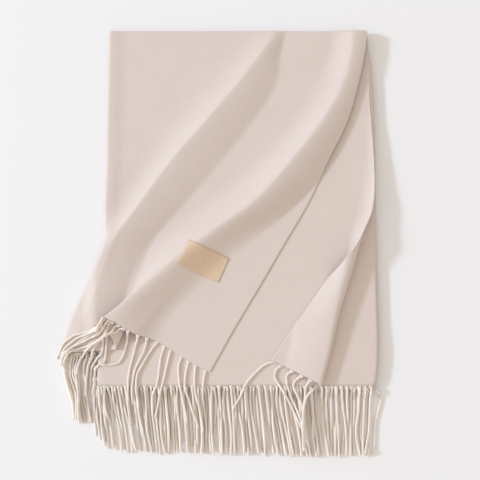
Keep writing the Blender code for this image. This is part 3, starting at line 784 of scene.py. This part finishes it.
# ---- Fringes ----
# The warp threads left free at each end of the shawl, gathered 8.2 mm apart and twisted two and two
# into soft cords up to 88 mm long with blunt cut ends. Each cord is laid on what is already there.
FRINGE = 88.0
CORD_PITCH = 8.2
SPACING = 1.0  # of the points along a cord
STRAND_OUT = 0.45  # from the cord's middle to a strand's middle
STRAND_RADIUS = 1.15
STRAND_SIDES = 7
TWIST = 7.0  # one full turn of the two strands
GATHER = 6.0  # over which the threads draw together from the hem
HEM_STRAND = dict(out=1.0, wide=1.25, tall=0.5)  # a strand where it leaves the hem, spread flat
TIP = dict(long=3.0, least=0.65)  # a cord's cut end: over how far it rounds off, and to what share
YARN_ROUND = 0.0066  # how wide the cloth's pattern lies round a strand, in metres
FREE = 5  # millimetres of a cord that its own hem holds up
MAP_X = (-240, 190)  # the height map that the cords are laid on, one cell a millimetre
MAP_Y = (-110, 110)
MAP_START = 3  # millimetres of a cord, from its hem, that stay off the map
MAP_RADIUS = 1.7  # a cord's half width on the map
MAP_ROUND = 0.8  # and how round its top is there, so that crossing cords nestle
SAG = 0.05  # curve of a limp cord that bridges a gap, per mm
SETTLING = 200  # rounds in which a cord's heights settle
TIP_FALL = 0.05  # how far its last point may drop
HEM_Y = 41  # of the drawn-aside hem, left of its pleat
wander = random.Random(7)

columns, lines = MAP_X[1] - MAP_X[0], MAP_Y[1] - MAP_Y[0]
heights = np.zeros((lines, columns))


def add_cloth(piece):
    """Raise the height map to the top of a piece."""
    tree = tree_of(piece)
    for j in range(lines):
        for i in range(columns):
            found = drop_on(tree, MAP_X[0] + i + 0.5, MAP_Y[0] + j + 0.5)
            if found:
                heights[j, i] = max(heights[j, i], found[0])


def smooth_route(points):
    """Places close together on a smooth curve through a route's points."""
    ends = [points[0], *points, points[-1]]
    fine = []
    for four in zip(ends, ends[1:], ends[2:], ends[3:]):
        fine += [tuple(curve(*parts, t) for parts in zip(*four)) for t in steps(0, 1, 12)[:-1]]
    return [*fine, points[-1]]


def lay_cord(route, start_z):
    """A cord's middle line, laid along a route on the height map, and the map raised by it."""
    fine = smooth_route(route)
    line = [fine[0]]
    reached = 0.0
    wanted = SPACING
    for a, b in zip(fine, fine[1:]):
        span = dist(a, b)
        while span and reached + span >= wanted and wanted <= FRINGE:
            line.append(mix(a, b, (wanted - reached) / span))
            wanted += SPACING
        reached += span
    floor_z = []
    for x, y in line:
        i = min(max(int(x - MAP_X[0]), 1), columns - 2)
        j = min(max(int(y - MAP_Y[0]), 1), lines - 2)
        floor_z.append(heights[j - 1:j + 2, i - 1:i + 2].max() + STRAND_OUT + STRAND_RADIUS)
    low = np.array(floor_z)
    low[:FREE] = np.minimum(low[:FREE], start_z)
    z = low.copy()
    z[0] = start_z
    for _ in range(SETTLING):
        middle = (z[:-2] + z[2:]) / 2 - SAG * SPACING ** 2
        z[1:-1] = np.maximum(low[1:-1], middle)
    z[-1] = max(low[-1], z[-2] - TIP_FALL)
    laid = [(x, y, h) for (x, y), h in zip(line, z)]
    reach = int(STRAND_OUT + STRAND_RADIUS) + 1
    for x, y, h in laid[MAP_START:]:
        ci, cj = int(x - MAP_X[0]), int(y - MAP_Y[0])
        for j in range(max(cj - reach, 0), min(cj + reach + 1, lines)):
            for i in range(max(ci - reach, 0), min(ci + reach + 1, columns)):
                away = hypot(MAP_X[0] + i + 0.5 - x, MAP_Y[0] + j + 0.5 - y)
                if away < MAP_RADIUS:
                    top = h + sqrt(MAP_RADIUS ** 2 - away ** 2) * MAP_ROUND
                    heights[j, i] = max(heights[j, i], top)
    return laid


def twist_cord(line, points, faces, maps):
    """Add the two strands of a cord to a mesh: spread flat at the hem, twisted further on."""
    sides = STRAND_SIDES
    middles = [Vector(p) for p in line]
    count = len(middles)
    for strand in (0, pi):
        first = len(points)
        for k, middle in enumerate(middles):
            ahead = (middles[min(k + 1, count - 1)] - middles[max(k - 1, 0)]).normalized()
            side = ahead.cross(Vector((0, 0, 1))).normalized()
            up = side.cross(ahead)
            gathered = smooth(k / GATHER)
            end = (count - 1 - k) / TIP["long"]
            twisted = k - GATHER / 2 if k > GATHER else k ** 2 / (2 * GATHER)
            turn = 2 * pi * twisted / TWIST + strand
            out = mix(HEM_STRAND["out"], STRAND_OUT, gathered)
            tip = 1.0 if end >= 1 else mix(TIP["least"], 1.0, sqrt(max(1 - (1 - end) ** 2, 0.0)))
            wide = mix(HEM_STRAND["wide"], STRAND_RADIUS, gathered) * tip
            tall = mix(HEM_STRAND["tall"], STRAND_RADIUS, gathered) * tip
            centre = middle + side * (out * cos(turn)) + up * (out * sin(turn) * gathered)
            for m in range(sides):
                a = 2 * pi * m / sides
                points.append(tuple(centre + side * (wide * cos(a)) + up * (tall * sin(a))))
                maps.append((m / sides * YARN_ROUND, k * SPACING * MM))
        faces += tube(first, count, sides)


def fringe(name, cords, nodes, material):
    """One row of cords as one piece, from each cord's route and starting height."""
    points, faces, maps = [], [], []
    for route, start_z in cords:
        twist_cord(lay_cord(route, start_z), points, faces, maps)
    piece = new_piece(name, points, faces, maps)
    piece.data.materials.append(material)
    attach(piece, "root")
    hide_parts(*nodes)
    return piece


# fluffy acrylic yarn of the cloth's own fibre, with real subsurface light soaking through its loose fibres.
# Its colour is partly painted light: it is drawn near white, much paler than the cloth, and stands in for
# more of that glow than the subsurface light gives
cord_finish = brushed_cloth("twisted_fringe_yarn", "#fff1e7", "#fae4d8", {
    "Sheen Weight": 0.6, "Sheen Tint": linear("#fff0e8"), "Subsurface Weight": 0.9,
    "Subsurface Radius": (1.0, 0.95, 0.9), "Subsurface Scale": 0.0014})

# how much a cord bends, curls, drifts and starts aside by chance, either way, and runs short or long
CHANCE = dict(bend=2.2, curl=1.6, drift=2.6, start=0.9, short=3, long=2)
PAST = 2  # how far a route runs on past the tip


def chance(kind):
    """A chance value of a kind, below or above nothing."""
    return wander.uniform(-CHANCE[kind], CHANCE[kind])


def hanging(x, y, drift, length):
    """A route straight down the picture from a hem, drifting sideways, with a little wander."""
    bend = chance("bend")
    curl = chance("curl")
    drift += chance("drift")
    length += wander.uniform(-CHANCE["short"], CHANCE["long"])
    return [(x + drift * s ** 1.3 + bend * sin(pi * s) + curl * sin(2 * pi * s), y - (length + PAST) * s)
            for s in (0, 0.2, 0.4, 0.6, 0.8, 1)]


# how far the tips of the flat plies' cords drift to the right, and how low they hang, along the hem
DRIFT = table("x to tip", [
    (-180, 9, 70), (-168, 12, 78), (-150, 13, 80), (-112, 8, 82), (-50, 3, 82), (-20, 3, 83),
    (10, 8, 83), (50, 11, 86), (95, 9, 87), (170, 2, 87)])
ROW_LEFT = -176  # where the flat plies' rows of cords start
# how far on from there each ply's first cord hangs, and where its row ends
CORD_ROWS = {"under": (6.6, 112), "back": (3.8, 94), "middle": (1.2, 92)}


def row_of_cords(ply):
    """Cords all along a ply's straight hem, each CORD_PITCH from the next. The under ply's hem slants
    away above the others, so that less of its cords shows."""
    cords = []
    offset, end = CORD_ROWS[ply]
    x = ROW_LEFT + offset
    while x < end:
        guide = at(DRIFT, "x", x)
        short = max(at(UNDER_HEM, "x", x)["y"], 0) if ply == "under" else 0
        placed = x + chance("start")
        route = hanging(placed, 1, guide["to"], guide["tip"] - short)
        cords.append((route, flat_height(placed, 1, LEVEL[ply])))
        x += CORD_PITCH
    return cords


# under ply: the left ones from its own slanting hem, the rest from under the back ply
under_cords = []
for x in (-214, -209, -203, -197, -191, -186, -181):
    drift = 12 + (x + 214) * 0.15
    under_cords.append((hanging(x, HEM_Y, drift, FRINGE), flat_height(x, HEM_Y, under_level)))
under_cords += row_of_cords("under")
UNDER_LEFT = [
    [(-170, 24), (-178, 6), (-181, -16), (-180, -40), (-178, -62)],
    [(-168, 19), (-176, -2), (-178, -24), (-176, -46), (-172, -68)],
    [(-166, 14), (-173, -8), (-174, -30), (-170, -52), (-165, -74)]]
under_cords += [(route, flat_height(*route[0], under_level)) for route in UNDER_LEFT]
UNDER_RIGHT = [
    [(125, -1), (126, -28), (124, -57), (121, -86)], [(147, -1), (147, -28), (145, -57), (148, -84)],
    [(158, -1), (157, -28), (155, -57), (156, -87)],
    [(118, -1), (119, -28), (118, -57), (117, -86)], [(131, -1), (132, -30), (129, -57), (125, -85)],
    [(141, -1), (142, -30), (140, -57), (141, -86)], [(153, -1), (152, -28), (149, -57), (154, -86)],
    [(163, -1), (161, -28), (160, -57), (157, -86)],
    [(170, -5), (175, -14), (174, -24), (168, -45), (166, -70), (164, -86)]]
under_cords += [(route, flat_height(route[0][0], 0, under_level)) for route in UNDER_RIGHT]

# back ply
back_cords = row_of_cords("back")
BACK_RIGHT = [
    [(107, 0), (107, -18), (107, -33), (110, -85)], [(119, 0), (120, -28), (121, -57), (122, -87)],
    [(132, 0), (133, -28), (134, -57), (134, -86)], [(155, 0), (154, -28), (152, -57), (151, -84)],
    [(101, 0), (101, -15), (102, -33), (104, -55), (109, -86)],
    [(114, 0), (113, -18), (113, -33), (112, -86)],
    [(125, 0), (128, -28), (131, -57), (131, -85)], [(138, 0), (138, -28), (137, -48), (136, -86)],
    [(148, 0), (147, -28), (143, -57), (148, -86)], [(162, 0), (161, -28), (159, -57), (153, -83)]]
back_cords += [(route, flat_height(route[0][0], 0, back_level)) for route in BACK_RIGHT]

# middle ply, up to the corner that is turned away
middle_cords = row_of_cords("middle")

# front ply: left of its pleat, under the pleat, over its crest, and right of it
hem = between(FRONT, len(FRONT) - 1)


def hem_start(share):
    """A place on the front ply's hem, and its height there."""
    x, y, raised, base_x, base_y = front_point(hem, share)
    return (x, y), front_height(base_x, base_y) + raised


SIDE_ROUTES = [
    [(-218, 42), (-219, 33), (-220, 19), (-216, 2), (-210, -18), (-207, -28), (-206, -42)],
    [(-210, 41), (-213, 31), (-215, 12), (-212, -1), (-206, -16), (-204, -28), (-204, -42)],
    [(-205, 41), (-208, 29), (-208, 12), (-203, -1), (-200, -15), (-200, -31), (-200, -42)],
    [(-199, 41), (-200, 31), (-202, 22), (-201, 6), (-199, -14), (-198, -30), (-195, -48)],
    [(-192, 41), (-192, 34), (-195, 24), (-194, 11), (-191, 2), (-193, -8), (-194, -17), (-189, -32),
     (-184, -56)],
    [(-182, 41), (-184, 33), (-189, 25), (-190, 19), (-191, 3), (-191, -12), (-187, -30), (-180, -62)]]
# each with its share of the hem, counted as front_point counts
PLEAT_ROUTES = [
    (1.92, [(-170, 44), (-176, 35), (-181, 28), (-185, 21), (-186, 10), (-186, -6), (-186, -21),
            (-184, -31)]),
    (1.84, [(-167, 32), (-173, 27), (-179, 21), (-180, 16), (-181, 7), (-180, 2), (-183, -11),
            (-182, -22), (-178, -31), (-176, -40)])]
CREST_ROUTES = [
    (1.97, [(-177, 66), (-183, 63), (-190, 60), (-198, 55), (-207, 47), (-213, 41), (-218, 34), (-219, 25),
            (-216, 10), (-212, -3)]),
    (2.0, [(-173, 73), (-180, 70), (-189, 66), (-205, 62), (-213, 57), (-220, 51), (-225, 41), (-229, 34),
           (-228, 26), (-226, 18)]),
    (2.07, [(-160, 76), (-164, 66), (-169, 60), (-178, 54), (-188, 49), (-198, 46), (-207, 43), (-213, 39),
            (-217, 32), (-219, 24)]),
    (2.17, [(-148, 70), (-152, 66), (-161, 63), (-169, 58), (-177, 51), (-181, 44), (-185, 34), (-189, 24),
            (-190, 14), (-190, 4)])]
FRONT_ROUTES = [
    [(-136, 71), (-140, 55), (-143, 42), (-146, 34), (-150, 29), (-158, 26), (-169, 26), (-175, 28)],
    [(-125, 65), (-131, 42), (-136, 22), (-138, 6), (-138, -20)],
    [(-115, 60), (-119, 42), (-129, 22), (-132, 8), (-133, -6), (-133, -24)],
    [(-102, 53), (-111, 42), (-120, 27), (-127, 13), (-128, -3), (-126, -18), (-125, -27)],
    [(-94, 48), (-98, 34), (-100, 17), (-103, 0), (-108, -11), (-108, -24), (-108, -35)],
    [(-85, 45), (-91, 22), (-94, 9), (-98, -7), (-103, -31), (-105, -40)],
    [(-72, 36), (-76, 24), (-75, 6), (-72, -11), (-68, -30), (-65, -46)],
    [(-63, 31), (-67, 15), (-68, 0), (-64, -16), (-59, -30), (-54, -43), (-51, -52)],
    [(-54, 27), (-56, 14), (-56, 0), (-54, -14), (-50, -28), (-46, -51), (-46, -57)],
    [(-42, 20), (-45, 6), (-46, -4), (-46, -16), (-44, -32), (-42, -48), (-41, -64)]]
SIDE_ROUTES += [[mix(a, b, 0.5) for a, b in zip(*pair)] for pair in zip(SIDE_ROUTES[:3], SIDE_ROUTES[1:4])]
front_cords = [(route, flat_height(route[0][0], HEM_Y, front_level)) for route in SIDE_ROUTES]
for share, route in PLEAT_ROUTES + CREST_ROUTES:
    start, z = hem_start(share)
    front_cords.append(([start, *route], z))
for (share, route), (next_share, next_route) in zip(CREST_ROUTES, CREST_ROUTES[1:]):
    start, z = hem_start((share + next_share) / 2)
    nearby = wander.uniform(0.35, 0.65)
    front_cords.append(([start] + [mix(a, b, nearby) for a, b in zip(route, next_route)], z))


def nearest_hem(x, y):
    """The place on the front ply's hem, right of its crest, nearest to a plan place."""
    return min((dist(hem_start(s)[0], (x, y)), hem_start(s)) for s in steps(2.1, 2.999, 200))[1]


for route in FRONT_ROUTES:
    start, z = nearest_hem(*route[0])
    front_cords.append(([start, *route[1:]], z))

# the turned corner's hem: each cord hooks over it, to the left, and then hangs
CORNER_ROUTES = [
    [(46, 34), (31, 26), (16, 13), (6, 0), (0, -14), (-8, -27), (-9, -33)],
    [(54, 28), (45, 20), (43, 10), (49, 0), (58, -15), (67, -33), (73, -46), (78, -61)],
    [(66, 20), (58, 13), (58, 3), (62, -11), (70, -29), (75, -43), (79, -59)],
    [(76, 12), (69, 7), (66, 0), (70, -11), (77, -27), (78, -48), (82, -74)],
    [(85, 4), (81, -2), (80, -14), (78, -27), (78, -43), (80, -75)],
    [(93, 0), (85, -9), (79, -21), (77, -33), (76, -52), (78, -80)]]
corner = [turned(x, 0) for x in steps(middle_columns(0)[MIDDLE_COLUMNS[0]], middle_columns(0)[-1], 100)]
corner_cords = []
for route in CORNER_ROUTES:
    start = min(corner, key=lambda p: dist(p[:2], route[0]))
    corner_cords.append(([start[:2], *route[1:]], start[2]))

add_cloth(core)
add_cloth(under_ply)
under_fringe = fringe("under_ply_cords", under_cords, ["under_fringe"], cord_finish)
add_cloth(back_ply)
back_fringe = fringe("back_ply_cords", back_cords, ["back_fringe"], cord_finish)
add_cloth(middle_ply)
middle_fringe = fringe("middle_ply_cords", middle_cords, ["middle_fringe"], cord_finish)
corner_fringe = fringe("turned_corner_cords", corner_cords, ["corner_fringe"], cord_finish)
add_cloth(front_ply)
front_fringe = fringe("front_ply_cords", front_cords, ["side_fringe", "pleat_fringe", "front_fringe"],
                      cord_finish)
